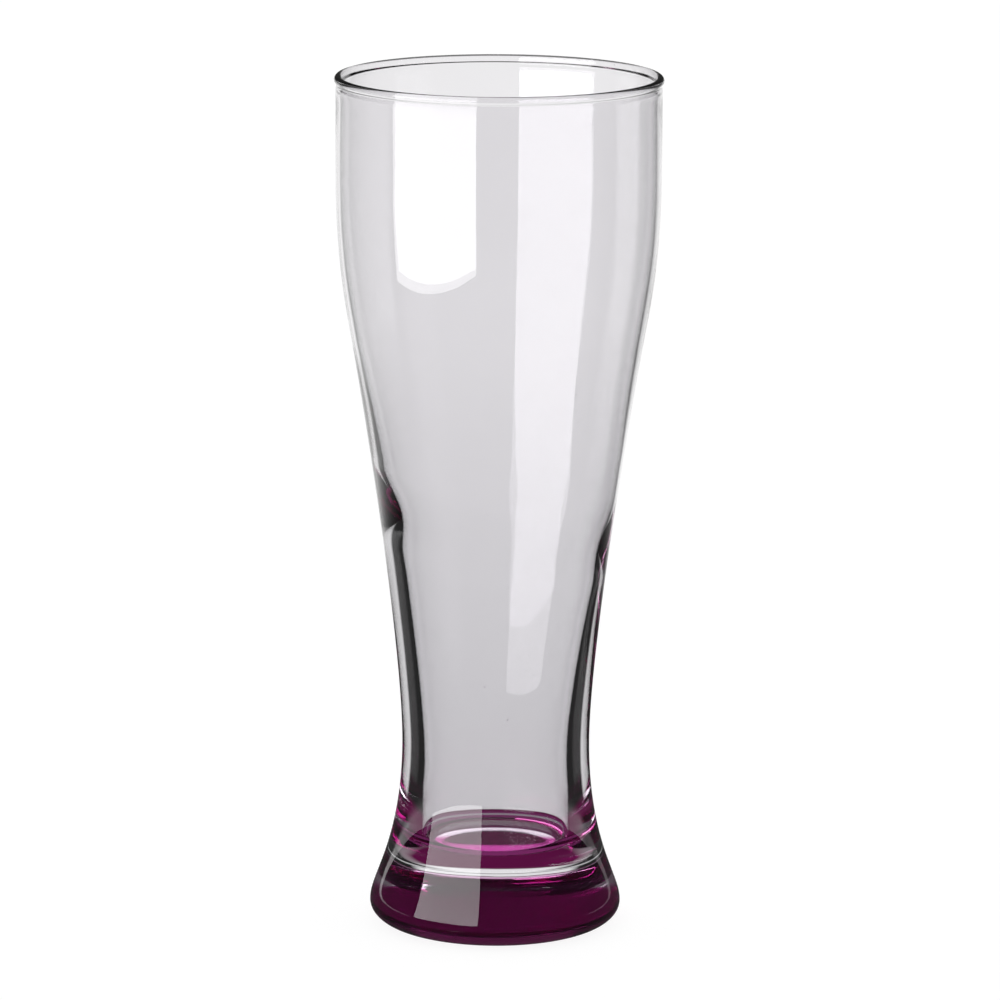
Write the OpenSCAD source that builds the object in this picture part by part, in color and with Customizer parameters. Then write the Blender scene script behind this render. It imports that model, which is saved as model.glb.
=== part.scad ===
// Tall pilsner glass with a coloured foot, in millimetres with +Z up. It is one blown
// piece of clear glass, with a purple lacquer film under its foot. The origin is the
// centre of the ring that the foot stands on, at table height.

/* [Overall] */
// Height from the table to the top of the rim
glass_h = 232; // [220:1:260]
// Diameter over the rim
rim_d = 88; // [80:0.5:96]
// Diameter over the foot at its widest
foot_d = 68.2; // [64:0.2:76]

/* [Rim] */
// Thickness of the fire-polished bead along the rim
lip_w = 2.3; // [2:0.1:3.2]
// Wall just below the bead
rim_wall = 1.8; // [1.2:0.1:1.9]
// Height over which the bead fades into the wall inside
lip_fade_h = 4; // [2:0.5:8]
// Height of the upright band below the rim
rim_band_h = 26; // [16:1:34]

/* [Bowl] */
// Outer diameter where the shoulder has become the straight taper
taper_d = 80; // [74:0.5:84]
// Height of that place above the table
taper_h = 165; // [150:1:175]
// Lean of the taper from upright, in degrees
taper_lean = 10.2; // [6:0.2:13]
// Wall there, the thinnest of the glass
taper_wall = 1.6; // [1:0.1:2.4]

/* [Step inside] */
// Height where the inside starts to draw in to the thick stem
step_top_h = 119; // [112:1:130]
// Height where the step inside ends
step_low_h = 103; // [90:1:108]
// Wall above the step
step_top_wall = 1.9; // [1.4:0.1:2.8]
// Wall below the step
step_low_wall = 3.3; // [2.9:0.1:5]

/* [Stem] */
// Outer diameter of the waist
waist_d = 50.8; // [46:0.2:55]
// Height of the waist above the table
waist_h = 50; // [44:1:58]
// Height where the cavity is narrowest
narrow_h = 40; // [34:1:56]
// Wall there
narrow_wall = 5.5; // [3.5:0.1:7]

/* [Foot] */
// Outer diameter where the foot's flare is steepest
flare_d = 62; // [58:0.2:64]
// Height of that place above the table
flare_h = 16; // [13:0.5:20]
// Lean of the flare from upright, in degrees
flare_lean = 20; // [12:0.5:26]
// Height of the foot's widest circle
foot_edge_h = 5.6; // [4:0.1:8]
// Diameter of the flat ring that the foot stands on, at the middle of the ring
bearing_d = 52; // [42:0.5:56]
// Width of that ring
bearing_w = 2; // [1:0.5:3]
// Rise of the hollow under the foot
pushup_h = 1.5; // [0.5:0.1:3]

/* [Cavity floor] */
// Height of the cavity's floor above the table, which is the thickness of the heel
heel_h = 22; // [17:0.5:28]
// Diameter of the cavity just above the rounded corner of its floor
floor_d = 42.4; // [38:0.2:44]
// Radius of that corner
floor_corner_r = 4; // [2:0.5:8]

/* [Colour coat] */
// Thickness of the lacquer film under the foot
coat_t = 0.15; // [0.1:0.01:0.3]
// Height of the film's edge on the foot's rounded heel
coat_edge_h = 1; // [0.5:0.1:2]

/* [Hidden] */

// Each curved stretch is a Bezier curve, drawn as this many straight pieces
curve_steps = 24;
arc_steps = 12;
// Lengths of a curve's two handles, as shares of its height
shoulder_shares = [0.49, 0.2];
bowl_shares = [0.24, 0.22];
taper_shares = [0.33, 0.33];
step_shares = [0.41, 0.49];
bore_shares = [0.17, 0.42];
floor_shares = [0.43, 0.1];
fade_shares = [0.4, 0.4];
flare_shares = [0.5, 0.18];
edge_shares = [0.58, 0.24];
// Handles of the heel: down from the widest circle, and out from the ring
heel_down_share = 0.62;
heel_out_share = 0.42;
// Handles of the hollow under the foot: in from the ring, and out from the axis
pushup_shares = [0.3, 0.5];
// Part of its thickness that the sprayed film loses towards its edge
feather_share = 0.6;
// Lean of the cavity's wall at the foot of the step, and above its floor, where it opens
bore_lean = 2;
floor_lean = -3;

rim_r = rim_d / 2;
lip_r = lip_w / 2;
band_h = glass_h - rim_band_h;
ring_outer_r = (bearing_d + bearing_w) / 2;
ring_inner_r = (bearing_d - bearing_w) / 2;

glass_colour = [0.85, 0.87, 0.88, 0.4];
coat_colour = [0.42, 0.02, 0.3];

$fn = 256;

function bezier(a, b, c, d, steps = curve_steps) = [
    for (i = [0:steps]) let (t = i / steps, u = 1 - t)
        u * u * u * a + 3 * u * u * t * b + 3 * u * t * t * c + t * t * t * d
];

// Curve down from point a to point b, where the wall leans from upright as given
function flow(a, b, lean_a, lean_b, shares) =
    let (drop = a.y - b.y)
    bezier(
        a,
        a - shares[0] * drop * [tan(lean_a), 1],
        b + shares[1] * drop * [tan(lean_b), 1],
        b
    );

function arc(centre, r, from, to) = [
    for (i = [0:arc_steps]) let (angle = from + (to - from) * i / arc_steps)
        centre + r * [cos(angle), sin(angle)]
];

// A list of points without its first one, where the curve before it ends there
function joined(points) = [for (i = [1:len(points) - 1]) points[i]];

function reversed(points) = [for (i = [len(points) - 1:-1:0]) points[i]];

// Radius of a profile at a height
function radius_at(profile, z) = lookup(z, [for (p = profile) [p.y, p.x]]);

// The outside, from the rim band down to the foot's widest circle
wall_outside = concat(
    flow([rim_r, band_h], [taper_d / 2, taper_h], 0, taper_lean, shoulder_shares),
    joined(flow([taper_d / 2, taper_h], [waist_d / 2, waist_h], taper_lean, 0, bowl_shares)),
    joined(flow([waist_d / 2, waist_h], [flare_d / 2, flare_h], 0, -flare_lean, flare_shares)),
    joined(flow([flare_d / 2, flare_h], [foot_d / 2, foot_edge_h], -flare_lean, 0, edge_shares))
);

// The glass's underside lies on the film: the rounded heel, the ring, and the hollow in it
heel = let (edge = [foot_d / 2, foot_edge_h], stand = [ring_outer_r, coat_t]) bezier(
    edge,
    edge - [0, heel_down_share * (foot_edge_h - coat_t)],
    stand + [heel_out_share * (edge.x - stand.x), 0],
    stand
);
hollow = let (stand = [ring_inner_r, coat_t], top = [0, coat_t + pushup_h]) bezier(
    stand,
    stand - [pushup_shares[0] * stand.x, 0],
    top + [pushup_shares[1] * stand.x, 0],
    top
);

// The bead along the rim, over the top from the outside to the inside
lip = arc([rim_r - lip_r, glass_h - lip_r], lip_r, 0, 180);

// The inside, from the rim band down to the floor of the cavity
step_top = [radius_at(wall_outside, step_top_h) - step_top_wall, step_top_h];
step_low = [radius_at(wall_outside, step_low_h) - step_low_wall, step_low_h];
narrow = [radius_at(wall_outside, narrow_h) - narrow_wall, narrow_h];
bore_end = [floor_d / 2, heel_h + floor_corner_r];
wall_inside = concat(
    flow([rim_r - lip_w, glass_h - lip_r], [rim_r - rim_wall, glass_h - lip_r - lip_fade_h],
        0, 0, fade_shares),
    flow([rim_r - rim_wall, band_h], [taper_d / 2 - taper_wall, taper_h],
        0, taper_lean, shoulder_shares),
    joined(flow([taper_d / 2 - taper_wall, taper_h], step_top,
        taper_lean, taper_lean, taper_shares)),
    joined(flow(step_top, step_low, taper_lean, bore_lean, step_shares)),
    joined(flow(step_low, narrow, bore_lean, 0, bore_shares)),
    joined(flow(narrow, bore_end, 0, floor_lean, floor_shares)),
    joined(arc(bore_end - [floor_corner_r, 0], floor_corner_r, 0, -90))
);

// The part of the glass's underside that the film covers, from its edge to the axis
coated = concat(
    [[radius_at(heel, coat_edge_h), coat_edge_h]],
    [for (p = heel) if (p.y < coat_edge_h) p],
    hollow
);

// The film is full under the foot and thins towards its edge on the heel
function film_at(r) =
    let (past = max(0, r - ring_outer_r) / (coated[0].x - ring_outer_r))
    coat_t * (1 - feather_share * past * past);

module glass_body() {
    color(glass_colour)
        rotate_extrude()
            polygon(concat(
                lip,
                joined(wall_inside),
                [[0, heel_h]],
                reversed(concat(wall_outside, joined(heel), hollow))
            ));
}

module colour_coat() {
    color(coat_colour)
        rotate_extrude()
            polygon(concat(
                coated,
                reversed([for (p = coated) p - [0, film_at(p.x)]])
            ));
}

glass_body();
colour_coat();
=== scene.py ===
"""Looks for a tall pilsner glass: clear glass with a translucent purple coat under its foot.

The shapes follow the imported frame, in metres, +Z up. Every size and colour that a user would
change is a property of one of the groups below.
"""

import bisect
import math

import bpy
from mathutils import Matrix, Vector, noise


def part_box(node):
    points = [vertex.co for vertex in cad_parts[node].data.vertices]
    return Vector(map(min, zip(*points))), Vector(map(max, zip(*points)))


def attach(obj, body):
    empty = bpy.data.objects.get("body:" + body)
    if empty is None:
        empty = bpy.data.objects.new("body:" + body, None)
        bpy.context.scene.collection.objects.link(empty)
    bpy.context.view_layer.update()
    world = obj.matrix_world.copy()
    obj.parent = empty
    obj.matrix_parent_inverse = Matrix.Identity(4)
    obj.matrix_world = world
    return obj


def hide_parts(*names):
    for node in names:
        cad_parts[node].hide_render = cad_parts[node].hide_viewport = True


bl_info = {
    "name": "Pilsner Glass",
    "version": (1, 0, 0),
    "blender": (4, 5, 0),
    "location": "View3D > Sidebar > Glass",
    "description": "Builds a tall pilsner glass with a coloured foot on a white studio floor",
    "category": "Add Mesh",
}

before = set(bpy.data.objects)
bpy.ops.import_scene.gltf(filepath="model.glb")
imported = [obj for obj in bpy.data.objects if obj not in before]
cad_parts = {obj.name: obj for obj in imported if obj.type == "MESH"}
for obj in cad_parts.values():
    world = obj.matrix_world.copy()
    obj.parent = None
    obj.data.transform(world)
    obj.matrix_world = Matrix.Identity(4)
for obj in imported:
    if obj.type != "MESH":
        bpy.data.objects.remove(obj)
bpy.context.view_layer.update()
GLASS_LOW, GLASS_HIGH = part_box("glass_body")
MM = 0.001


def length(name, default, description):
    """A size in metres."""
    return bpy.props.FloatProperty(
        name=name,
        description=description,
        default=default,
        min=0.0,
        precision=5,
        subtype="DISTANCE",
        unit="LENGTH",
    )


def angle(name, default, description):
    """An angle in radians, given here in degrees."""
    return bpy.props.FloatProperty(
        name=name,
        description=description,
        default=math.radians(default),
        subtype="ANGLE",
        unit="ROTATION",
    )


def share(name, default, description, top=1.0):
    """A plain number, mostly from 0 to 1."""
    return bpy.props.FloatProperty(
        name=name,
        description=description,
        default=default,
        min=0.0,
        max=top,
        precision=4,
    )


def colour(name, default, description):
    """A linear colour."""
    return bpy.props.FloatVectorProperty(
        name=name,
        description=description,
        default=default,
        size=3,
        min=0.0,
        max=1.0,
        subtype="COLOR",
    )


class GlassSizes(bpy.types.PropertyGroup):
    """Sizes of the clear glass."""

    height: length("Height", GLASS_HIGH.z, "From the table to the top of the rim")
    rim_d: length("Rim", GLASS_HIGH.x - GLASS_LOW.x, "Diameter over the rim")
    foot_d: length("Foot", 68.2 * MM, "Diameter of the foot at its widest")
    lip_w: length("Rim bead", 2.3 * MM, "Thickness of the fire-polished bead")
    rim_wall: length("Rim wall", 1.8 * MM, "Wall just below the bead")
    lip_fade_h: length("Bead fade", 4 * MM, "Height over which the bead fades into the wall")
    rim_band_h: length("Rim band", 26 * MM, "Height of the upright band below the rim")
    bead_proud: length("Bead stands out", 0.45 * MM, "How far the bead stands out of the wall")
    taper_d: length("Taper", 80 * MM, "Outer diameter where the shoulder has become the taper")
    taper_h: length("Taper height", 165 * MM, "Height of that place")
    taper_lean: angle("Taper lean", 10.2, "Lean of the taper from upright")
    taper_wall: length("Taper wall", 1.6 * MM, "Wall there")
    step_top_h: length("Step top", 125 * MM, "Height where the inside starts to draw in")
    step_low_h: length("Step foot", 100 * MM, "Height where the step inside ends")
    step_top_wall: length("Wall above step", 1.9 * MM, "Wall above the step")
    step_low_wall: length("Wall below step", 3.6 * MM, "Wall below the step")
    step_tilt: length("Step tilt", 5.5 * MM, "How much higher the step is on its high side")
    waist_d: length("Waist", 50.8 * MM, "Outer diameter of the waist")
    waist_h: length("Waist height", 50 * MM, "Height of the waist")
    narrow_h: length("Narrowest", 40 * MM, "Height where the cavity is narrowest")
    narrow_wall: length("Stem wall", 6.2 * MM, "Wall there")
    flare_d: length("Flare", 62 * MM, "Outer diameter where the foot's flare is steepest")
    flare_h: length("Flare height", 16 * MM, "Height of that place")
    flare_lean: angle("Flare lean", 20, "Lean of the flare from upright")
    foot_edge_h: length("Foot edge", 5.6 * MM, "Height of the foot's widest circle")
    bearing_d: length("Bearing ring", 52 * MM, "Diameter of the ring that the foot stands on")
    bearing_w: length("Ring width", 2 * MM, "Width of that ring")
    pushup_h: length("Hollow", 1.5 * MM, "Rise of the hollow under the foot")
    heel_h: length("Heel", 22 * MM, "Height of the cavity's floor")
    floor_d: length("Cavity floor", 40.8 * MM, "Diameter of the cavity above its floor's corner")
    floor_corner_r: length("Floor corner", 4 * MM, "Radius of that corner")
    floor_lean: angle("Floor lean", -3, "Lean of the cavity's wall above its floor")
    wobble: length("Wobble", 0.03 * MM, "How far the blown inside strays from true")


class CoatSizes(bpy.types.PropertyGroup):
    """Sizes of the lacquer film."""

    thickness: length("Film", 0.15 * MM, "Thickness of the lacquer film")
    edge_h: length("Film edge", 2.0 * MM, "Height of the film's edge on the heel at the back")
    front_h: length("Front edge", 5.4 * MM, "Height of the sprayed film's edge at the front")
    edge_stray: length("Edge stray", 0.12 * MM, "How far the sprayed edge wanders")
    feather: share("Feather", 0.6, "Part of its thickness that the film loses to its edge")
    bond_gap: length("Bond", 0.02 * MM, "Gap that keeps the film's top off the glass's faces")
    # The bare arc is an arc of nearly clear film; with the floor's bright ring under it, it paints
    # a highlight, the light crescent in the cavity's floor
    bare_in: length("Bare arc inside", 21.5 * MM, "Inner radius of the bare arc at the back")
    bare_out: length("Bare arc outside", 25.5 * MM, "Outer radius of that arc")


class GlassColours(bpy.types.PropertyGroup):
    """Colours of the glass, the coat and the studio."""

    glass: colour("Glass", (0.905, 0.895, 0.912), "Clear glass at the rim, with a faint grey cast")
    glass_thick: colour("Thick glass", (0.795, 0.785, 0.805), "Clear glass in the stem and heel")
    speck: colour("Speck", (0.2, 0.19, 0.2), "Tiny seeds and dust in the glass")
    coat_filter: colour("Coat filter", (0.54, 0.075, 0.36), "What the film lets through")
    coat_dense: colour("Dense filter", (0.075, 0.009, 0.042), "The same where the spray built up")
    # Painted highlight: the nearly clear arc lets the floor's bright ring through as the light
    # crescent in the cavity's floor
    coat_bare: colour("Bare arc", (0.93, 0.88, 0.93), "The same where the holder kept it off")
    coat_thin: colour("Thin filter", (0.97, 0.8, 0.95), "The same at its feathered edge")
    coat_body: colour("Coat body", (0.20, 0.01, 0.13), "What the film scatters")
    coat_haze: share("Coat haze", 0.12, "Part of the light that the film scatters")
    coat_outside: colour("Coat outside", (0.9, 0.75, 0.87), "Tint of the film's outer face")


class StudioSettings(bpy.types.PropertyGroup):
    """Camera, lamps and backdrop."""

    lens: share("Lens", 216.3, "Focal length in millimetres", top=1000)
    camera_back: length("Camera distance", 1586.5 * MM, "From the glass's axis to the camera")
    camera_up: length("Camera height", 445.1 * MM, "From the table to the camera")
    camera_dip: angle("Camera dip", 11.686, "How far the camera looks down")
    camera_roll: angle("Camera roll", 0.3, "How far the photo leans")
    side_shift: share("Side shift", 0.003, "Shift of the frame to the right, in image widths")
    softbox_back: length("Softbox distance", 470 * MM, "From the glass's axis to the softbox")
    softbox_turn: angle("Softbox turn", -46, "Where the softbox stands, from the camera's side")
    softbox_w: length("Softbox width", 560 * MM, "Width of the softbox")
    softbox_low: length("Softbox foot", 11 * MM, "Height of the softbox's lower edge")
    softbox_top: length("Softbox top", 450 * MM, "Height of the softbox's upper edge")
    softbox_light: share("Softbox light", 4.3, "Brightness of the softbox's foot", top=100)
    softbox_fade: share("Softbox fade", 0.75, "Part of that left at its top")
    backdrop_half: angle("Backdrop half", 28, "Half the width of the white seen through bends")
    dark: share("Dark room", 0.02, "Brightness of the room beside the backdrop")
    behind_half: angle("Behind half", 6.5, "Half the width of the lit floor just behind the foot")
    lift: share("Lift", 0.001, "Shift of the frame downwards, in image widths")
    near: length("Near floor", 70 * MM, "Radius of the shaded floor round the foot")
    far: length("Far floor", 95 * MM, "Radius past which the floor is plain white through glass")
    under: share("Under foot", 2.0, "Brightness of the floor under the foot's middle", top=10)
    under_bent: share("Under foot, bent", 0.4, "The same where the glass reflected the light")
    # Painted light: a floor ring brighter than white under the nearly clear arc, which paints the
    # light crescent in the cavity's floor
    ring_light: share("Ring light", 2.2, "Brightness of the floor under the bare arc", top=10)
    under_edge: share("Under edge", 0.2, "Brightness of the floor under the foot's edge")
    rim_dim: share("Rim dim", 0.2, "Brightness of the floor that the rim's back edge bends in")
    floor_white: share("Floor white", 0.9, "Brightness of the floor that the camera sees")
    floor_paint: share("Floor paint", 0.19, "What the floor gives back of the lamps' light")
    foot_shade: colour("Foot shade", (0.12, 0.005, 0.06), "Floor shaded by the coloured foot")
    side_half: angle("Side half", 25, "Half the width of the white that the sides reflect")
    left_turn: angle("Left field", 61, "Where the pale field on the left lies, from behind")
    left_half: angle("Left field half", 37, "Half the width of that field")
    left_light: share("Left field light", 1.25, "Brightness of that field", top=10)
    right_turn: angle("Right field", 45, "Where the dimmer field on the right lies")
    right_half: angle("Right field half", 22, "Half the width of that field")
    right_light: share("Right field light", 0.5, "Brightness of that field", top=10)
    strip_turn: angle("Right strip", 77, "Where the pale strip on the right lies")
    strip_half: angle("Right strip half", 12, "Half the width of that strip")
    strip_light: share("Right strip light", 1.2, "Brightness of that strip", top=10)
    bounce_kept: share("Kept", 0.7, "Part of the light left by each more bounce in the glass")
    direct_half: angle("Direct half", 30, "Half the width of the white seen straight through")
    room: share("Room", 0.05, "Brightness of the room that the glass reflects")
    above: share("Above", 0.2, "Brightness above the backdrop, seen through the glass")
    ceiling: share("Ceiling", 0.45, "Brightness of the ceiling, seen through the glass")
    ambient: share("Ambient", 0.6, "Brightness of the room as it lights plain surfaces")


# Lengths of a curve's two handles, as shares of its height
SHOULDER_SHARES = (0.49, 0.2)
BOWL_SHARES = (0.24, 0.22)
FLARE_SHARES = (0.5, 0.18)
EDGE_SHARES = (0.58, 0.24)
FADE_SHARES = (0.4, 0.4)
FLOOR_SHARES = (0.43, 0.1)
# Handles of the heel: down from the widest circle, and out from the ring
HEEL_DOWN_SHARE = 0.62
HEEL_OUT_SHARE = 0.42
# Handles of the hollow under the foot: in from the ring, and out from the axis
HOLLOW_SHARES = (0.3, 0.5)
# Where the bead's rounding starts outside, in degrees under its level
LIP_UNDERCUT = 60
# From there to the band: first handle, last handle and end, in radii of the bead
LIP_LEAVE = (0.25, 0.4)
LIP_ARRIVE = 1.5
LIP_END = 2.2
# The film's edge starts to rise here and rises over this, as parts of the way to the front
EDGE_START = 0.12
EDGE_RISE = 0.3

# The step's tilt reaches this far up and down, and ends over these heights
TILT_REACH = 40 * MM
TILT_TOP_FADE = 30 * MM
TILT_LOW_FADE = 20 * MM
# How fine the noise is that the blown wall and the sprayed edge stray by
WOBBLE_SCALE = 45
EDGE_SCALE = 4

# Sections round the glass, and straight pieces along some of its stretches
SEGMENTS = 216
BOWL_STEPS = 96
HEEL_STEPS = 60
SPLIT_STEPS = 12
FLAT_STEPS = 8
# The cavity's wall is worked out finely, and every twelfth point of it is drawn
FINE_BOWL_STEPS = 1200
FINE_FLARE_STEPS = 600
FINE_PER_DRAWN = 12
# Fine points left out above the narrowest place, and those that its lean is measured over
FINE_CLEAR = 4
FINE_LEAN = 7
TINY = 1e-7

# Distances on the floor from the glass's axis, where one brightness turns into the next
HEEL_EDGE = 31 * MM
UNDER_SPAN = (8 * MM, 30 * MM)
BARE_SPAN_IN = (20 * MM, 21 * MM)
BARE_SPAN_OUT = (25 * MM, 26 * MM)
PAST_HEEL_SPAN = (34 * MM, 38 * MM)
SHADE_SPAN = (51 * MM, 54 * MM)
BENT_SHADE_SPAN = (85 * MM, 110 * MM)
RIM_SPAN_IN = (115 * MM, 130 * MM)
RIM_SPAN_OUT = (300 * MM, 450 * MM)
FIELD_SPAN = (300 * MM, 500 * MM)
# Half the floor's width, and how far it lies under the foot
FLOOR_HALF = 15.0
FLOOR_DROP = 0.1 * MM

# Upward parts of a view's direction, where one part of the world turns into the next
CEILING_SPAN = (0.5, 0.75)
BACKDROP_SPAN = (0.03, 0.15)
DIRECT_SPAN = (0.38, 0.5)
# Heights over which the softbox dims
SOFTBOX_SPAN = (0.12, 0.4)

# Glass and lacquer bend light alike, and their ripples are this deep
GLASS_IOR = 1.5
RIPPLE_DEPTH = 0.2 * MM
# Noise between these values shows as smudges
SMUDGE_SPAN = (0.58, 0.75)
# Radius of a speck in its cell, and the part of the cells that have none
SPECK_RADIUS = 0.025
SPECK_SKIPPED = 0.35
# How far the film's haze strays from its mean
HAZE_STRAY = 0.2
# Soft edge of each white or pale field, to each side
MASK_SOFT = math.radians(3)
# Most bounces that a ray takes in the thick glass
BOUNCES = 32
# A ray's depth is above these once it was bent, and once it went through the whole bowl
ONCE = 0.5
WHOLE_BOWL = 2.5

# Places in the film, from its axis and the table, and back from the glass's middle
FILM_HEEL_R = 28 * MM
DENSE_SIDE_SPAN = (5 * MM, -10 * MM)
DENSE_LOW_SPAN = (0.4 * MM, 1 * MM)
DENSE_HIGH_SPAN = (3.6 * MM, 4.8 * MM)
DENSE_LEFT = 0.35
THIN_SIDE_SPAN = (10 * MM, 20 * MM)
THIN_HIGH_SPAN = (0.9 * MM, 1.8 * MM)
BARE_SIDE_SPAN = (13 * MM, 18 * MM)
BARE_STRAY = 0.4 * MM


def bezier_point(a, b, c, d, t):
    """The point at share t of the curve from a to d with handles b and c."""
    u = 1 - t
    return u**3 * a + 3 * u * u * t * b + 3 * u * t * t * c + t**3 * d


def bezier(a, b, c, d, steps=32):
    """Points of the curve from a to d with handles b and c."""
    return [bezier_point(a, b, c, d, i / steps) for i in range(steps + 1)]


def flow(a, b, lean_a, lean_b, shares, steps=32):
    """Curve down from a to b, where the wall leans from upright as given."""
    drop = a.y - b.y
    leave = Vector((math.tan(lean_a), 1)) * (shares[0] * drop)
    arrive = Vector((math.tan(lean_b), 1)) * (shares[1] * drop)
    return bezier(a, a - leave, b + arrive, b, steps)


def arc(centre, radius, start, end, steps):
    """Points of an arc, with its angles in degrees."""
    points = []
    for i in range(steps + 1):
        turn = math.radians(start + (end - start) * i / steps)
        points.append(centre + Vector((math.cos(turn), math.sin(turn))) * radius)
    return points


def smoother(t):
    """0 up to t = 0, then an even rise to 1 at t = 1, with no kink in its curvature."""
    t = min(1, max(0, t))
    return t**3 * (10 - 15 * t + 6 * t * t)


def even(t, corner=0.08):
    """0 up to about t = 0 and 1 from about t = 1, straight between, with rounded corners."""
    return 0.5 * (1 + math.hypot(t, corner) - math.hypot(t - 1, corner))


class Profiles:
    """The glass's half section, as lists of (radius, height) points from the rim down."""

    def __init__(self, glass, coat):
        rim_r = glass.rim_d / 2
        lip_r = glass.lip_w / 2
        band_h = glass.height - glass.rim_band_h
        top_h = glass.height - lip_r
        taper = Vector((glass.taper_d / 2, glass.taper_h))
        waist = Vector((glass.waist_d / 2, glass.waist_h))
        flare = Vector((glass.flare_d / 2, glass.flare_h))
        edge = Vector((glass.foot_d / 2, glass.foot_edge_h))
        stand = Vector(((glass.bearing_d + glass.bearing_w) / 2, coat.thickness))
        inner_stand = Vector(((glass.bearing_d - glass.bearing_w) / 2, coat.thickness))
        summit = Vector((0, coat.thickness + glass.pushup_h))

        self.lip = arc(Vector((rim_r - lip_r, top_h)), lip_r, -LIP_UNDERCUT, 180, steps=30)
        band_r = rim_r - glass.bead_proud
        under_lip = self.lip[0]
        outside = bezier(
            under_lip,
            under_lip - Vector(LIP_LEAVE) * lip_r,
            Vector((band_r, top_h - LIP_ARRIVE * lip_r)),
            Vector((band_r, top_h - LIP_END * lip_r)),
            steps=8,
        )[1:]
        lean, flare_lean = glass.taper_lean, -glass.flare_lean
        outside += flow(Vector((band_r, band_h)), taper, 0, lean, SHOULDER_SHARES)
        outside += flow(taper, waist, lean, 0, BOWL_SHARES, BOWL_STEPS)[1:]
        outside += flow(waist, flare, 0, flare_lean, FLARE_SHARES)[1:]
        outside += flow(flare, edge, flare_lean, 0, EDGE_SHARES, steps=16)[1:]
        self.outside = outside
        fine = flow(taper, waist, lean, 0, BOWL_SHARES, FINE_BOWL_STEPS)
        fine += flow(waist, flare, 0, flare_lean, FLARE_SHARES, FINE_FLARE_STEPS)[1:]
        self.fine_outside = fine
        self.heel_handles = (
            edge,
            edge - Vector((0, HEEL_DOWN_SHARE * (edge.y - stand.y))),
            stand + Vector((HEEL_OUT_SHARE * (edge.x - stand.x), 0)),
            stand,
        )
        self.heel = bezier(*self.heel_handles, HEEL_STEPS)
        self.hollow = bezier(
            inner_stand,
            inner_stand - Vector((HOLLOW_SHARES[0] * inner_stand.x, 0)),
            summit + Vector((HOLLOW_SHARES[1] * inner_stand.x, 0)),
            summit,
            steps=20,
        )
        self.inside = self.cavity(glass, rim_r, top_h, band_h, taper)
        self.stand_r = stand.x
        self.coat = coat

    def heel_split(self, turn):
        """The heel above the film's edge and below it, at an angle round the foot."""
        coat = self.coat
        front = 0.5 - 0.5 * math.sin(turn)
        high = min(1, max(0, (front - EDGE_START) / EDGE_RISE))
        high = high * high * (3 - 2 * high)
        here = Vector((math.cos(turn), math.sin(turn), 0)) * EDGE_SCALE
        edge_h = coat.edge_h + (coat.front_h - coat.edge_h) * high
        edge_h += coat.edge_stray * noise.noise(here)
        split = sum(p.y > edge_h for p in self.heel) / len(self.heel)
        steps = [i / SPLIT_STEPS for i in range(SPLIT_STEPS + 1)]
        above = [bezier_point(*self.heel_handles, split * t) for t in steps[1:]]
        below = [bezier_point(*self.heel_handles, split + (1 - split) * t) for t in steps]
        return above, below

    def cavity(self, glass, rim_r, top_h, band_h, taper):
        """The inside, from the bead down to the middle of the cavity's floor."""
        fade_low = Vector((rim_r - glass.rim_wall, top_h - glass.lip_fade_h))
        band = Vector((rim_r - glass.rim_wall, band_h))
        thin = Vector((taper.x - glass.taper_wall, taper.y))
        corner_r = glass.floor_corner_r
        bore_end = Vector((glass.floor_d / 2, glass.heel_h + corner_r))
        fine = []
        for outer in self.fine_outside:
            z = outer.y
            if z < glass.narrow_h - TINY:
                break
            upper = smoother((glass.taper_h - z) / (glass.taper_h - glass.step_top_h))
            step = smoother((glass.step_top_h - z) / (glass.step_top_h - glass.step_low_h))
            stem = even((glass.step_low_h - z) / (glass.step_low_h - glass.narrow_h))
            wall = glass.taper_wall + (glass.step_top_wall - glass.taper_wall) * upper
            wall += (glass.step_low_wall - glass.step_top_wall) * step
            wall += (glass.narrow_wall - glass.step_low_wall) * stem
            fine.append(Vector((outer.x - wall, z)))
        narrow = fine[-1]
        before = fine[-1 - FINE_LEAN]
        narrow_lean = math.atan((before.x - narrow.x) / (before.y - narrow.y))
        self.fine_wall = fine
        self.fine_heights = [-p.y for p in fine]

        points = flow(Vector((rim_r - glass.lip_w, top_h)), fade_low, 0, 0, FADE_SHARES, steps=10)
        points += [fade_low.lerp(band, i / FLAT_STEPS) for i in range(1, FLAT_STEPS + 1)]
        points += flow(band, thin, 0, glass.taper_lean, SHOULDER_SHARES)[1:]
        points += fine[FINE_PER_DRAWN:-FINE_CLEAR:FINE_PER_DRAWN] + [narrow]
        lean = glass.floor_lean
        points += flow(narrow, bore_end, narrow_lean, lean, FLOOR_SHARES, steps=12)[1:]
        points += arc(bore_end - Vector((corner_r, 0)), corner_r, 0, -90, steps=16)[1:]
        middle = Vector((0, glass.heel_h))
        points += [points[-1].lerp(middle, i / FLAT_STEPS) for i in range(1, FLAT_STEPS + 1)]
        return points


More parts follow.
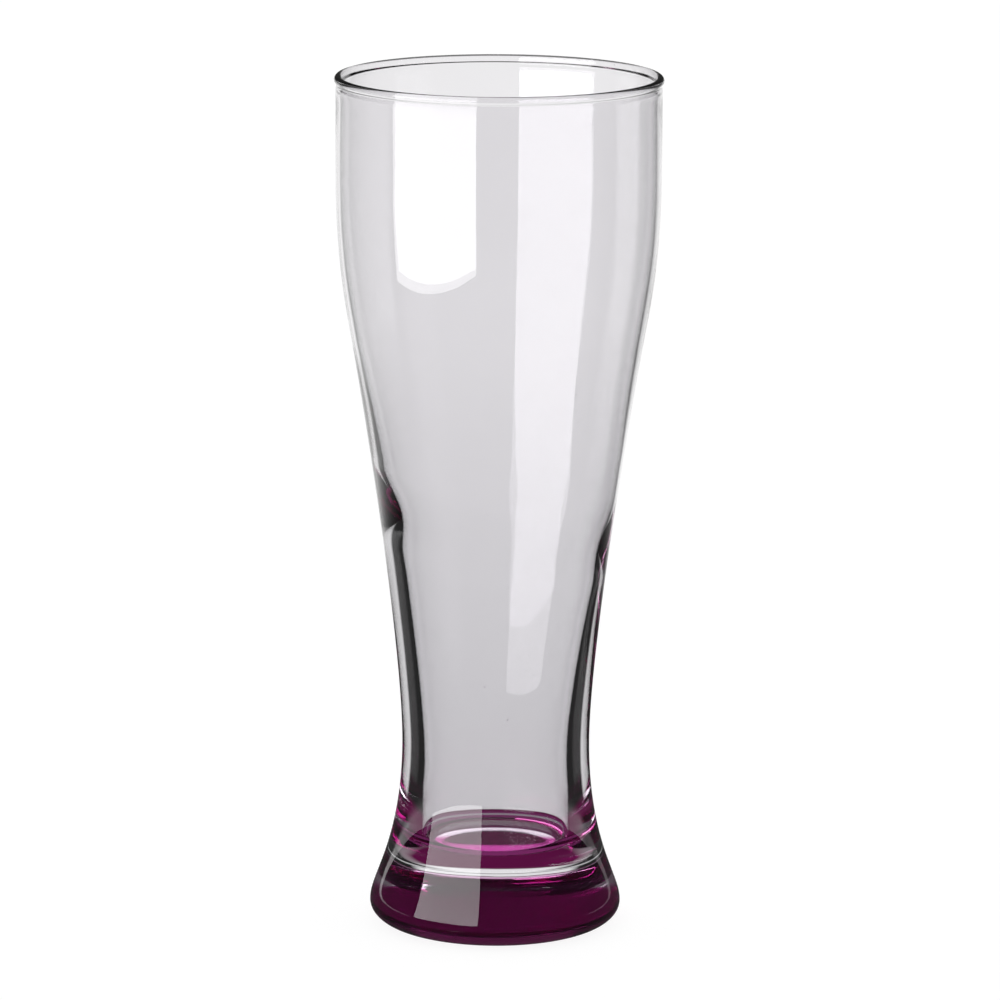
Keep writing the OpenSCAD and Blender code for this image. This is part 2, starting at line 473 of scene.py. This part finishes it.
def lathe(name, column, segments, bend=None):
    """A mesh whose section at each angle is column(angle): (radius, height, slot, bent) rows.

    A row's slot is the material of the faces after it, and bent rows are moved by bend.
    """
    verts, faces, slots, rows = [], [], [], []
    turns = [2 * math.pi * k / segments for k in range(segments)]
    columns = [column(turn) for turn in turns]
    for i, (radius, z, _, bent) in enumerate(columns[0]):
        if radius < TINY:
            rows.append([len(verts)])
            verts.append((0, 0, z))
            continue
        rows.append(list(range(len(verts), len(verts) + segments)))
        for turn, whole in zip(turns, columns):
            radius, z = whole[i][:2]
            point = Vector((radius * math.cos(turn), radius * math.sin(turn), z))
            verts.append(bend(point) if bent else point)
    for (_, _, slot, _), upper, lower in zip(columns[0], rows, rows[1:]):
        for k in range(segments):
            after = (k + 1) % segments
            if len(upper) == 1:
                faces.append((upper[0], lower[k], lower[after]))
            elif len(lower) == 1:
                faces.append((upper[k], lower[0], upper[after]))
            else:
                faces.append((upper[k], lower[k], lower[after], upper[after]))
            slots.append(slot)
    mesh = bpy.data.meshes.new(name)
    mesh.from_pydata(verts, [], faces)
    mesh.polygons.foreach_set("material_index", slots)
    mesh.polygons.foreach_set("use_smooth", [True] * len(faces))
    mesh.update()
    piece = bpy.data.objects.new(name, mesh)
    bpy.context.scene.collection.objects.link(piece)
    return piece


def node(tree, kind, inputs=None, **settings):
    """A shader node with its settings and the values or links of its inputs."""
    made = tree.nodes.new(kind)
    for key, value in settings.items():
        setattr(made, key, value)
    for key, value in (inputs or {}).items():
        if isinstance(value, bpy.types.NodeSocket):
            tree.links.new(value, made.inputs[key])
        else:
            made.inputs[key].default_value = value
    return made


def maths(tree, operation, *values):
    """The output of a Math node."""
    made = node(tree, "ShaderNodeMath", dict(enumerate(values)), operation=operation)
    return made.outputs[0]


def product(tree, first, *others):
    """The product of several values."""
    for other in others:
        first = maths(tree, "MULTIPLY", first, other)
    return first


# A Mix node takes numbers in its sockets 2 and 3, and colours in 6 and 7
def mix_value(tree, factor, a, b):
    """The output of a Mix node between two numbers."""
    made = node(tree, "ShaderNodeMix", {0: factor, 2: a, 3: b}, data_type="FLOAT")
    return made.outputs[0]


def mix_colour(tree, factor, a, b):
    """The output of a Mix node between two colours."""
    made = node(tree, "ShaderNodeMix", {0: factor, 6: a, 7: b}, data_type="RGBA")
    return made.outputs[2]


def ramp(tree, value, span, low=0.0, high=1.0, curve="SMOOTHSTEP"):
    """The output of a Map Range node, from low at the span's start to high at its end."""
    made = node(
        tree,
        "ShaderNodeMapRange",
        {"Value": value, "From Min": span[0], "From Max": span[1], "To Min": low, "To Max": high},
        interpolation_type=curve,
    )
    return made.outputs["Result"]


def between(tree, value, rise, fall):
    """1 between two spans, rising over the first and falling over the second."""
    return product(tree, ramp(tree, value, rise), ramp(tree, value, fall, 1.0, 0.0))


def length_of(tree, vector):
    """The length of a vector."""
    made = node(tree, "ShaderNodeVectorMath", {0: vector}, operation="LENGTH")
    return made.outputs["Value"]


def own_place(tree):
    """Where a point lies on its own object, and that place's three parts."""
    vector = node(tree, "ShaderNodeTexCoord").outputs["Object"]
    return vector, node(tree, "ShaderNodeSeparateXYZ", {"Vector": vector}).outputs


def new_material(name):
    """An empty material and its tree."""
    material = bpy.data.materials.new(name)
    material.use_nodes = True
    material.node_tree.nodes.clear()
    return material, material.node_tree


def rgba(value):
    """A colour with its alpha, as a colour socket takes it."""
    return (*value, 1.0)


def group(name, inputs, outputs):
    """An empty node group with named sockets, its input node and its output node."""
    tree = bpy.data.node_groups.new(name, "ShaderNodeTree")
    for socket, kind, default in inputs:
        made = tree.interface.new_socket(name=socket, in_out="INPUT", socket_type=kind)
        if default is not None:
            made.default_value = default
    for socket, kind in outputs:
        tree.interface.new_socket(name=socket, in_out="OUTPUT", socket_type=kind)
    return tree, tree.nodes.new("NodeGroupInput"), tree.nodes.new("NodeGroupOutput")


def place(tree, shared, inputs):
    """A shared group placed in a tree with its own values."""
    return node(tree, "ShaderNodeGroup", inputs, node_tree=shared)


def surface_life():
    """Group: wiping smudges, settled dust and the slow ripple of a fire-polished surface."""
    name = "Surface life"
    if name in bpy.data.node_groups:
        return bpy.data.node_groups[name]
    tree, given, result = group(
        name,
        [
            ("Ripple size", "NodeSocketFloat", 60.0),
            ("Smudge size", "NodeSocketFloat", 30.0),
            ("Smudge", "NodeSocketFloat", 0.02),
            ("Dust size", "NodeSocketFloat", 140.0),
        ],
        [
            ("Ripple", "NodeSocketFloat"),
            ("Smudge", "NodeSocketFloat"),
            ("Dust", "NodeSocketFloat"),
        ],
    )
    spot = node(tree, "ShaderNodeTexCoord").outputs["Object"]
    ripple = node(
        tree,
        "ShaderNodeTexNoise",
        {"Vector": spot, "Scale": given.outputs["Ripple size"], "Detail": 2.0},
    )
    smudges = node(
        tree,
        "ShaderNodeTexNoise",
        {"Vector": spot, "Scale": given.outputs["Smudge size"], "Detail": 4.0},
    )
    patches = ramp(tree, smudges.outputs["Fac"], SMUDGE_SPAN, curve="LINEAR")
    specks = node(
        tree,
        "ShaderNodeTexVoronoi",
        {"Vector": spot, "Scale": given.outputs["Dust size"]},
    )
    near = maths(tree, "LESS_THAN", specks.outputs["Distance"], SPECK_RADIUS)
    parts = node(tree, "ShaderNodeSeparateColor", {"Color": specks.outputs["Color"]})
    some = maths(tree, "GREATER_THAN", parts.outputs["Red"], SPECK_SKIPPED)
    tree.links.new(ripple.outputs["Fac"], result.inputs["Ripple"])
    tree.links.new(product(tree, patches, given.outputs["Smudge"]), result.inputs["Smudge"])
    tree.links.new(product(tree, near, some), result.inputs["Dust"])
    return tree


def backdrop_mask():
    """Group: 1 inside the backdrop's width round +Y and the dark room's value beside it."""
    name = "Backdrop mask"
    if name in bpy.data.node_groups:
        return bpy.data.node_groups[name]
    tree, given, result = group(
        name,
        [
            ("Vector", "NodeSocketVector", None),
            ("Half", "NodeSocketFloat", 0.5),
            ("Dark", "NodeSocketFloat", 0.02),
        ],
        [("Value", "NodeSocketFloat")],
    )
    parts = node(tree, "ShaderNodeSeparateXYZ", {"Vector": given.outputs["Vector"]})
    turn = maths(tree, "ARCTAN2", parts.outputs["X"], parts.outputs["Y"])
    off = maths(tree, "ABSOLUTE", turn)
    low = maths(tree, "SUBTRACT", given.outputs["Half"], MASK_SOFT)
    high = maths(tree, "ADD", given.outputs["Half"], MASK_SOFT)
    value = ramp(tree, off, (low, high), 1.0, given.outputs["Dark"], curve="LINEAR")
    tree.links.new(value, result.inputs["Value"])
    return tree


def masked(tree, vector, half, dark):
    """The backdrop mask's value for a direction or a place on the floor."""
    values = {"Vector": vector, "Half": half, "Dark": dark}
    return place(tree, backdrop_mask(), values).outputs["Value"]


def clear_glass(colours, sizes):
    """Clear soda-lime glass, a little greyer where it is thick, with ripple and smudges."""
    material, tree = new_material("Clear glass")
    life = place(tree, surface_life(), {"Ripple size": 55.0, "Smudge": 0.015})
    _, spot = own_place(tree)
    thin = ramp(tree, spot["Z"], (sizes.narrow_h, sizes.taper_h), curve="LINEAR")
    tint = mix_colour(tree, thin, rgba(colours.glass_thick), rgba(colours.glass))
    dusty = mix_colour(tree, life.outputs["Dust"], tint, rgba(colours.speck))
    bump = node(
        tree,
        "ShaderNodeBump",
        {"Height": life.outputs["Ripple"], "Strength": 0.1, "Distance": RIPPLE_DEPTH},
    )
    shader = node(
        tree,
        "ShaderNodeBsdfPrincipled",
        {
            "Base Color": dusty,
            "Roughness": life.outputs["Smudge"],
            "IOR": GLASS_IOR,
            "Transmission Weight": 1.0,
            "Normal": bump.outputs["Normal"],
        },
    )
    node(tree, "ShaderNodeOutputMaterial", {"Surface": shader.outputs[0]})
    return material


def bonded_glass():
    """The glass's faces under the film, where light passes straight on into the lacquer."""
    material, tree = new_material("Bonded glass")
    shader = node(tree, "ShaderNodeBsdfTransparent", {"Color": (1, 1, 1, 1)})
    node(tree, "ShaderNodeOutputMaterial", {"Surface": shader.outputs[0]})
    return material


def lacquer_inside(colours, coat):
    """The film's bonded side: it filters what passes and scatters a little."""
    material, tree = new_material("Purple lacquer inside")
    vector, spot = own_place(tree)
    noise_values = {"Vector": vector, "Scale": 160.0, "Detail": 2.0}
    spray = node(tree, "ShaderNodeTexNoise", noise_values).outputs["Fac"]
    out = length_of(tree, vector)
    heel = maths(tree, "GREATER_THAN", out, FILM_HEEL_R)

    dense = product(
        tree,
        ramp(tree, spot["Y"], DENSE_SIDE_SPAN, curve="LINEAR"),
        ramp(tree, spot["Z"], DENSE_LOW_SPAN, curve="LINEAR"),
        heel,
        ramp(tree, spot["Z"], DENSE_HIGH_SPAN, 1.0, DENSE_LEFT),
    )
    density = mix_colour(tree, dense, rgba(colours.coat_filter), rgba(colours.coat_dense))

    thinned = product(
        tree,
        ramp(tree, spot["Y"], THIN_SIDE_SPAN, curve="LINEAR"),
        ramp(tree, spot["Z"], THIN_HIGH_SPAN, curve="LINEAR"),
        heel,
    )
    density = mix_colour(tree, thinned, density, rgba(colours.coat_thin))

    # Painted highlight: an arc of nearly clear film at the back, over the floor's bright ring,
    # paints the light crescent in the cavity's floor
    wander = mix_value(tree, spray, -BARE_STRAY, BARE_STRAY)
    around = maths(tree, "ADD", out, wander)
    bare = product(
        tree,
        maths(tree, "GREATER_THAN", around, coat.bare_in),
        maths(tree, "LESS_THAN", around, coat.bare_out),
        ramp(tree, spot["Y"], BARE_SIDE_SPAN),
    )
    density = mix_colour(tree, bare, density, rgba(colours.coat_bare))

    passing = node(tree, "ShaderNodeBsdfTransparent", {"Color": density})
    body = node(
        tree,
        "ShaderNodeBsdfPrincipled",
        {"Base Color": rgba(colours.coat_body), "Roughness": 0.6, "Specular IOR Level": 0.0},
    )
    least = (1 - HAZE_STRAY) * colours.coat_haze
    most = (1 + HAZE_STRAY) * colours.coat_haze
    haze = mix_value(tree, spray, least, most)
    mixed = node(
        tree,
        "ShaderNodeMixShader",
        {0: haze, 1: passing.outputs[0], 2: body.outputs[0]},
    )
    node(tree, "ShaderNodeOutputMaterial", {"Surface": mixed.outputs[0]})
    return material


def lacquer_outside(colours):
    """The film's outer side, glossy, with the grain of a sprayed coat."""
    material, tree = new_material("Purple lacquer outside")
    life = place(tree, surface_life(), {"Ripple size": 400.0, "Smudge": 0.05})
    bump = node(
        tree,
        "ShaderNodeBump",
        {"Height": life.outputs["Ripple"], "Strength": 0.05, "Distance": RIPPLE_DEPTH},
    )
    shader = node(
        tree,
        "ShaderNodeBsdfPrincipled",
        {
            "Base Color": rgba(colours.coat_outside),
            "Roughness": 0.0,
            "IOR": GLASS_IOR,
            "Transmission Weight": 1.0,
            "Normal": bump.outputs["Normal"],
        },
    )
    node(tree, "ShaderNodeOutputMaterial", {"Surface": shader.outputs[0]})
    return material


def blown_bend(sizes, profiles):
    """Moves a point of the cavity as blowing does: a tilted step and a slight wobble."""
    step_middle = (sizes.step_top_h + sizes.step_low_h) / 2
    tilt_top = sizes.taper_h - sizes.step_tilt
    wall, heights = profiles.fine_wall, profiles.fine_heights

    def wall_at(z):
        """Radius of the cavity's wall at a height."""
        after = min(max(bisect.bisect_left(heights, -z), 1), len(wall) - 1)
        high, low = wall[after - 1], wall[after]
        return low.x + (high.x - low.x) * (z - low.y) / (high.y - low.y)

    def bend(point):
        """The point where blowing leaves it."""
        if point.z < sizes.narrow_h:
            return point
        radius = math.hypot(point.x, point.y)
        low_fade = min(1, (point.z - sizes.narrow_h) / TILT_LOW_FADE)
        fade = low_fade * min(1, max(0, (tilt_top - point.z) / TILT_TOP_FADE))
        shifted = 0
        if fade > 0:
            near_step = math.exp(-(((point.z - step_middle) / TILT_REACH) ** 2))
            lift = -sizes.step_tilt * near_step * fade * point.x / radius
            shifted = wall_at(point.z - lift) - wall_at(point.z)
        stray = sizes.wobble * low_fade * noise.noise(point * WOBBLE_SCALE)
        return point + Vector((point.x, point.y, 0)) / radius * (shifted + stray)

    return bend


class GLASS_OT_body(bpy.types.Operator):
    """Builds the clear glass, from the rim's bead to the foot"""

    bl_idname = "pilsner.glass_body"
    bl_label = "Clear Glass"

    def execute(self, context):
        sizes, coat = context.scene.glass_sizes, context.scene.coat_sizes
        shape = Profiles(sizes, coat)
        clear, bonded = 0, 1
        upper = [(p.x, p.y, clear, True) for p in reversed(shape.inside)]
        upper += [(p.x, p.y, clear, False) for p in reversed(shape.lip[:-1])]
        upper += [(p.x, p.y, clear, False) for p in shape.outside]
        under = [(p.x, p.y, bonded, False) for p in shape.hollow]

        def column(turn):
            """The glass's section at an angle."""
            above, below = shape.heel_split(turn)
            heel = [(p.x, p.y, clear, False) for p in above[:-1]]
            heel += [(p.x, p.y, bonded, False) for p in below]
            return upper + heel + under

        piece = lathe("clear_glass", column, SEGMENTS, blown_bend(sizes, shape))
        piece.data.materials.append(clear_glass(context.scene.glass_colours, sizes))
        piece.data.materials.append(bonded_glass())
        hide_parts("glass_body")
        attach(piece, "root")
        return {"FINISHED"}


class GLASS_OT_coat(bpy.types.Operator):
    """Builds the purple lacquer film under the foot"""

    bl_idname = "pilsner.colour_coat"
    bl_label = "Colour Coat"

    def execute(self, context):
        sizes, coat = context.scene.glass_sizes, context.scene.coat_sizes
        shape = Profiles(sizes, coat)
        inner, outer = 0, 1

        def column(turn):
            """The film's section at an angle."""
            _, below = shape.heel_split(turn)
            bonded = below + shape.hollow
            edge = below[0]
            span = edge.x - shape.stand_r
            rows = [(p.x, p.y - coat.bond_gap, inner, False) for p in reversed(bonded[1:])]
            rows += [(edge.x, edge.y, outer, False)]
            for p in bonded:
                past = max(0, p.x - shape.stand_r) / span
                film = coat.thickness * (1 - coat.feather * past * past)
                rows += [(p.x, p.y - film, outer, False)]
            return rows

        piece = lathe("purple_coat", column, SEGMENTS)
        piece.data.materials.append(lacquer_inside(context.scene.glass_colours, coat))
        piece.data.materials.append(lacquer_outside(context.scene.glass_colours))
        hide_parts("colour_coat")
        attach(piece, "root")
        return {"FINISHED"}


def path_parts(tree, studio):
    """What a ray went through before it came here, and how much the glass took from it.

    The first four values are 1 where the glass reflected it, where it went through glass,
    through the whole bowl, or left a plain surface. The last is the part of its light left.
    """
    path = node(tree, "ShaderNodeLightPath").outputs
    bent = maths(tree, "GREATER_THAN", path["Glossy Depth"], ONCE)
    in_glass = maths(tree, "GREATER_THAN", path["Transmission Depth"], ONCE)
    through_bowl = maths(tree, "GREATER_THAN", path["Transmission Depth"], WHOLE_BOWL)
    plain = maths(tree, "GREATER_THAN", path["Diffuse Depth"], ONCE)
    more = maths(tree, "SUBTRACT", path["Glossy Depth"], 1.0)
    kept = maths(tree, "POWER", studio.bounce_kept, maths(tree, "MAXIMUM", more, 0.0))
    return bent, in_glass, through_bowl, plain, kept


def studio_world(studio):
    """World: white for the camera and through the glass, a dim room in reflections."""
    world = bpy.data.worlds.new("Studio")
    world.use_nodes = True
    tree = world.node_tree
    tree.nodes.clear()
    vector = node(tree, "ShaderNodeTexCoord").outputs["Generated"]
    bent, in_glass, through_bowl, plain, kept = path_parts(tree, studio)
    up = node(tree, "ShaderNodeSeparateXYZ", {"Vector": vector}).outputs["Z"]
    upper = ramp(tree, up, CEILING_SPAN, studio.above, studio.ceiling)

    slim = masked(tree, vector, studio.backdrop_half, studio.dark)
    slim = mix_value(tree, ramp(tree, up, BACKDROP_SPAN), slim, upper)
    reflected = mix_value(tree, in_glass, studio.room, slim)

    wide = masked(tree, vector, studio.direct_half, studio.dark)
    direct = mix_value(tree, ramp(tree, up, DIRECT_SPAN), wide, upper)
    direct = mix_value(tree, in_glass, 1.0, direct)
    direct = mix_value(tree, through_bowl, direct, 1.0)

    value = mix_value(tree, bent, direct, reflected)
    value = mix_value(tree, plain, value, studio.ambient)
    background = node(tree, "ShaderNodeBackground", {"Strength": 1.0})
    tree.links.new(product(tree, value, kept), background.inputs["Color"])
    node(tree, "ShaderNodeOutputWorld", {"Surface": background.outputs[0]})
    return world


def fields_beside(tree, vector, studio):
    """What the outside of the bowl reflects of the floor: a white sweep and pale fields."""
    mirrored = node(
        tree,
        "ShaderNodeVectorMath",
        {0: vector, 1: (-1.0, 1.0, 1.0)},
        operation="MULTIPLY",
    ).outputs["Vector"]
    low = studio.room
    for side, turn, half, bright in (
        (vector, studio.left_turn, studio.left_half, studio.left_light),
        (mirrored, studio.right_turn, studio.right_half, studio.right_light),
        (mirrored, studio.strip_turn, studio.strip_half, studio.strip_light),
    ):
        turned = node(
            tree,
            "ShaderNodeVectorRotate",
            {"Vector": side, "Angle": -turn},
            rotation_type="Z_AXIS",
        )
        field = masked(tree, turned.outputs["Vector"], half, 0.0)
        low = mix_value(tree, field, low, bright)
    white = mix_value(tree, masked(tree, vector, studio.side_half, 0.0), low, 1.0)
    far_off = ramp(tree, length_of(tree, vector), FIELD_SPAN)
    return mix_value(tree, far_off, studio.room, white)


def floor_seen_through(tree, studio, vector, distance, through_bowl):
    """Brightness of the floor that is seen through the glass without a reflection.

    It returns the slim lit strip behind the foot, the floor behind and the floor below it.
    """
    slim = masked(tree, vector, studio.behind_half, studio.dark)
    past = ramp(tree, distance, (studio.near, studio.far))
    behind = mix_value(tree, past, slim, 1.0)
    rim = between(tree, distance, RIM_SPAN_IN, RIM_SPAN_OUT)
    behind = mix_value(tree, rim, behind, studio.rim_dim)
    behind = mix_value(tree, through_bowl, behind, 1.0)
    below = ramp(tree, distance, UNDER_SPAN, studio.under, studio.under_edge)
    # Painted light: a ring of floor brighter than white under the nearly clear arc, seen through
    # the glass as the light crescent in the cavity's floor
    bare = between(tree, distance, BARE_SPAN_IN, BARE_SPAN_OUT)
    below = mix_value(tree, bare, below, studio.ring_light)
    return slim, behind, below


def floor_material(studio):
    """Floor: white for the camera, with the glass's soft shadow left in.

    Seen through the glass it has its own brightness, and a purple shade near the foot.
    """
    material, tree = new_material("Studio floor")
    vector = node(tree, "ShaderNodeNewGeometry").outputs["Position"]
    distance = length_of(tree, vector)
    outside = maths(tree, "GREATER_THAN", distance, HEEL_EDGE)
    bent, in_glass, through_bowl, plain, kept = path_parts(tree, studio)
    slim, behind, below = floor_seen_through(tree, studio, vector, distance, through_bowl)
    through = mix_value(tree, outside, below, behind)

    wide = masked(tree, vector, studio.backdrop_half, studio.dark)
    wide = mix_value(tree, outside, studio.under_bent, wide)
    reflected = mix_value(tree, in_glass, fields_beside(tree, vector, studio), wide)
    value = mix_value(tree, bent, through, reflected)
    value = mix_value(tree, plain, value, studio.ambient)
    value = product(tree, value, kept)

    past_heel = product(tree, slim, ramp(tree, distance, PAST_HEEL_SPAN))
    straight = product(
        tree,
        ramp(tree, distance, SHADE_SPAN, 1.0, 0.0),
        maths(tree, "MAXIMUM", past_heel, through_bowl),
        outside,
        in_glass,
        maths(tree, "SUBTRACT", 1.0, bent),
    )
    beside = ramp(tree, distance, BENT_SHADE_SPAN, 1.0, 0.0)
    beside = product(tree, beside, outside, bent, in_glass)
    shade = maths(tree, "MAXIMUM", straight, beside)
    shade = product(tree, shade, maths(tree, "SUBTRACT", 1.0, plain))
    tinted = mix_colour(tree, shade, value, rgba(studio.foot_shade))

    glow = node(tree, "ShaderNodeEmission", {"Color": tinted})
    for_camera = node(tree, "ShaderNodeEmission", {"Color": rgba([studio.floor_white] * 3)})
    paint = node(tree, "ShaderNodeBsdfDiffuse", {"Color": rgba([studio.floor_paint] * 3)})
    lit = node(tree, "ShaderNodeAddShader", {0: for_camera.outputs[0], 1: paint.outputs[0]})
    from_camera = node(tree, "ShaderNodeLightPath").outputs["Is Camera Ray"]
    whole = node(
        tree,
        "ShaderNodeMixShader",
        {0: from_camera, 1: glow.outputs[0], 2: lit.outputs[0]},
    )
    node(tree, "ShaderNodeOutputMaterial", {"Surface": whole.outputs[0]})
    return material


def place_camera(scene, studio):
    """The photograph's camera: far off, with a long lens, looking a little down."""
    data = bpy.data.cameras.new("Camera")
    data.sensor_width = 36
    data.lens = studio.lens
    data.shift_x = studio.side_shift
    data.shift_y = -studio.lift
    data.clip_start = 0.01
    data.clip_end = 50
    camera = bpy.data.objects.new("Camera", data)
    camera.location = (0, -studio.camera_back, studio.camera_up)
    look = Matrix.Rotation(math.pi / 2 - studio.camera_dip, 3, "X")
    camera.rotation_euler = (look @ Matrix.Rotation(studio.camera_roll, 3, "Z")).to_euler()
    scene.collection.objects.link(camera)
    scene.camera = camera


def place_softbox(scene, studio):
    """The one large softbox, to the left of the camera, close to the glass."""
    width = studio.softbox_w
    tall = studio.softbox_top - studio.softbox_low
    data = bpy.data.lights.new("Softbox", "AREA")
    data.shape = "RECTANGLE"
    data.size = width
    data.size_y = tall
    data.energy = studio.softbox_light * math.pi * width * tall
    data.use_nodes = True
    tree = data.node_tree
    spot = node(tree, "ShaderNodeNewGeometry").outputs["Position"]
    z = node(tree, "ShaderNodeSeparateXYZ", {"Vector": spot}).outputs["Z"]
    glow = ramp(tree, z, SOFTBOX_SPAN, 1.0, studio.softbox_fade)
    tree.links.new(glow, tree.nodes["Emission"].inputs["Strength"])
    lamp = bpy.data.objects.new("Softbox", data)
    away = Vector((math.sin(studio.softbox_turn), -math.cos(studio.softbox_turn), 0))
    middle = (studio.softbox_low + studio.softbox_top) / 2
    lamp.location = away * studio.softbox_back + Vector((0, 0, middle))
    lamp.rotation_euler = away.to_track_quat("Z", "Y").to_euler()
    lamp.visible_camera = False
    lamp.visible_diffuse = False
    scene.collection.objects.link(lamp)


class GLASS_OT_stage(bpy.types.Operator):
    """Builds the floor, the white surround, the softbox and the camera"""

    bl_idname = "pilsner.stage"
    bl_label = "Stage"

    def execute(self, context):
        scene = context.scene
        studio = scene.glass_studio
        mesh = bpy.data.meshes.new("floor")
        corners = [(-1, -1), (1, -1), (1, 1), (-1, 1)]
        verts = [(x * FLOOR_HALF, y * FLOOR_HALF, -FLOOR_DROP) for x, y in corners]
        mesh.from_pydata(verts, [], [(0, 1, 2, 3)])
        mesh.materials.append(floor_material(studio))
        floor = bpy.data.objects.new("floor", mesh)
        scene.collection.objects.link(floor)
        scene.world = studio_world(studio)
        place_softbox(scene, studio)
        place_camera(scene, studio)
        scene.view_settings.view_transform = "Standard"
        scene.cycles.max_bounces = BOUNCES
        scene.cycles.glossy_bounces = BOUNCES
        scene.cycles.transmission_bounces = BOUNCES
        scene.cycles.transparent_max_bounces = BOUNCES
        return {"FINISHED"}


class GLASS_PT_panel(bpy.types.Panel):
    """Lists the pieces in the 3D view's sidebar"""

    bl_idname = "GLASS_PT_panel"
    bl_label = "Pilsner Glass"
    bl_space_type = "VIEW_3D"
    bl_region_type = "UI"
    bl_category = "Glass"

    def draw(self, context):
        for operator in OPERATORS:
            self.layout.operator(operator.bl_idname)
        for key in GROUPS:
            settings = getattr(context.scene, key)
            box = self.layout.box()
            for name in settings.__annotations__:
                box.prop(settings, name)


GROUPS = {
    "glass_sizes": GlassSizes,
    "coat_sizes": CoatSizes,
    "glass_colours": GlassColours,
    "glass_studio": StudioSettings,
}
OPERATORS = (GLASS_OT_body, GLASS_OT_coat, GLASS_OT_stage)


def register():
    """Registers every class and hangs the property groups on the scene."""
    for cls in (*GROUPS.values(), *OPERATORS, GLASS_PT_panel):
        bpy.utils.register_class(cls)
    for key, cls in GROUPS.items():
        setattr(bpy.types.Scene, key, bpy.props.PointerProperty(type=cls))


def unregister():
    """Takes back what register did."""
    for key in GROUPS:
        delattr(bpy.types.Scene, key)
    for cls in reversed((*GROUPS.values(), *OPERATORS, GLASS_PT_panel)):
        bpy.utils.unregister_class(cls)


def main():
    """Registers the add-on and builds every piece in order."""
    register()
    bpy.ops.pilsner.stage()
    bpy.ops.pilsner.glass_body()
    bpy.ops.pilsner.colour_coat()


if __name__ == "__main__":
    main()
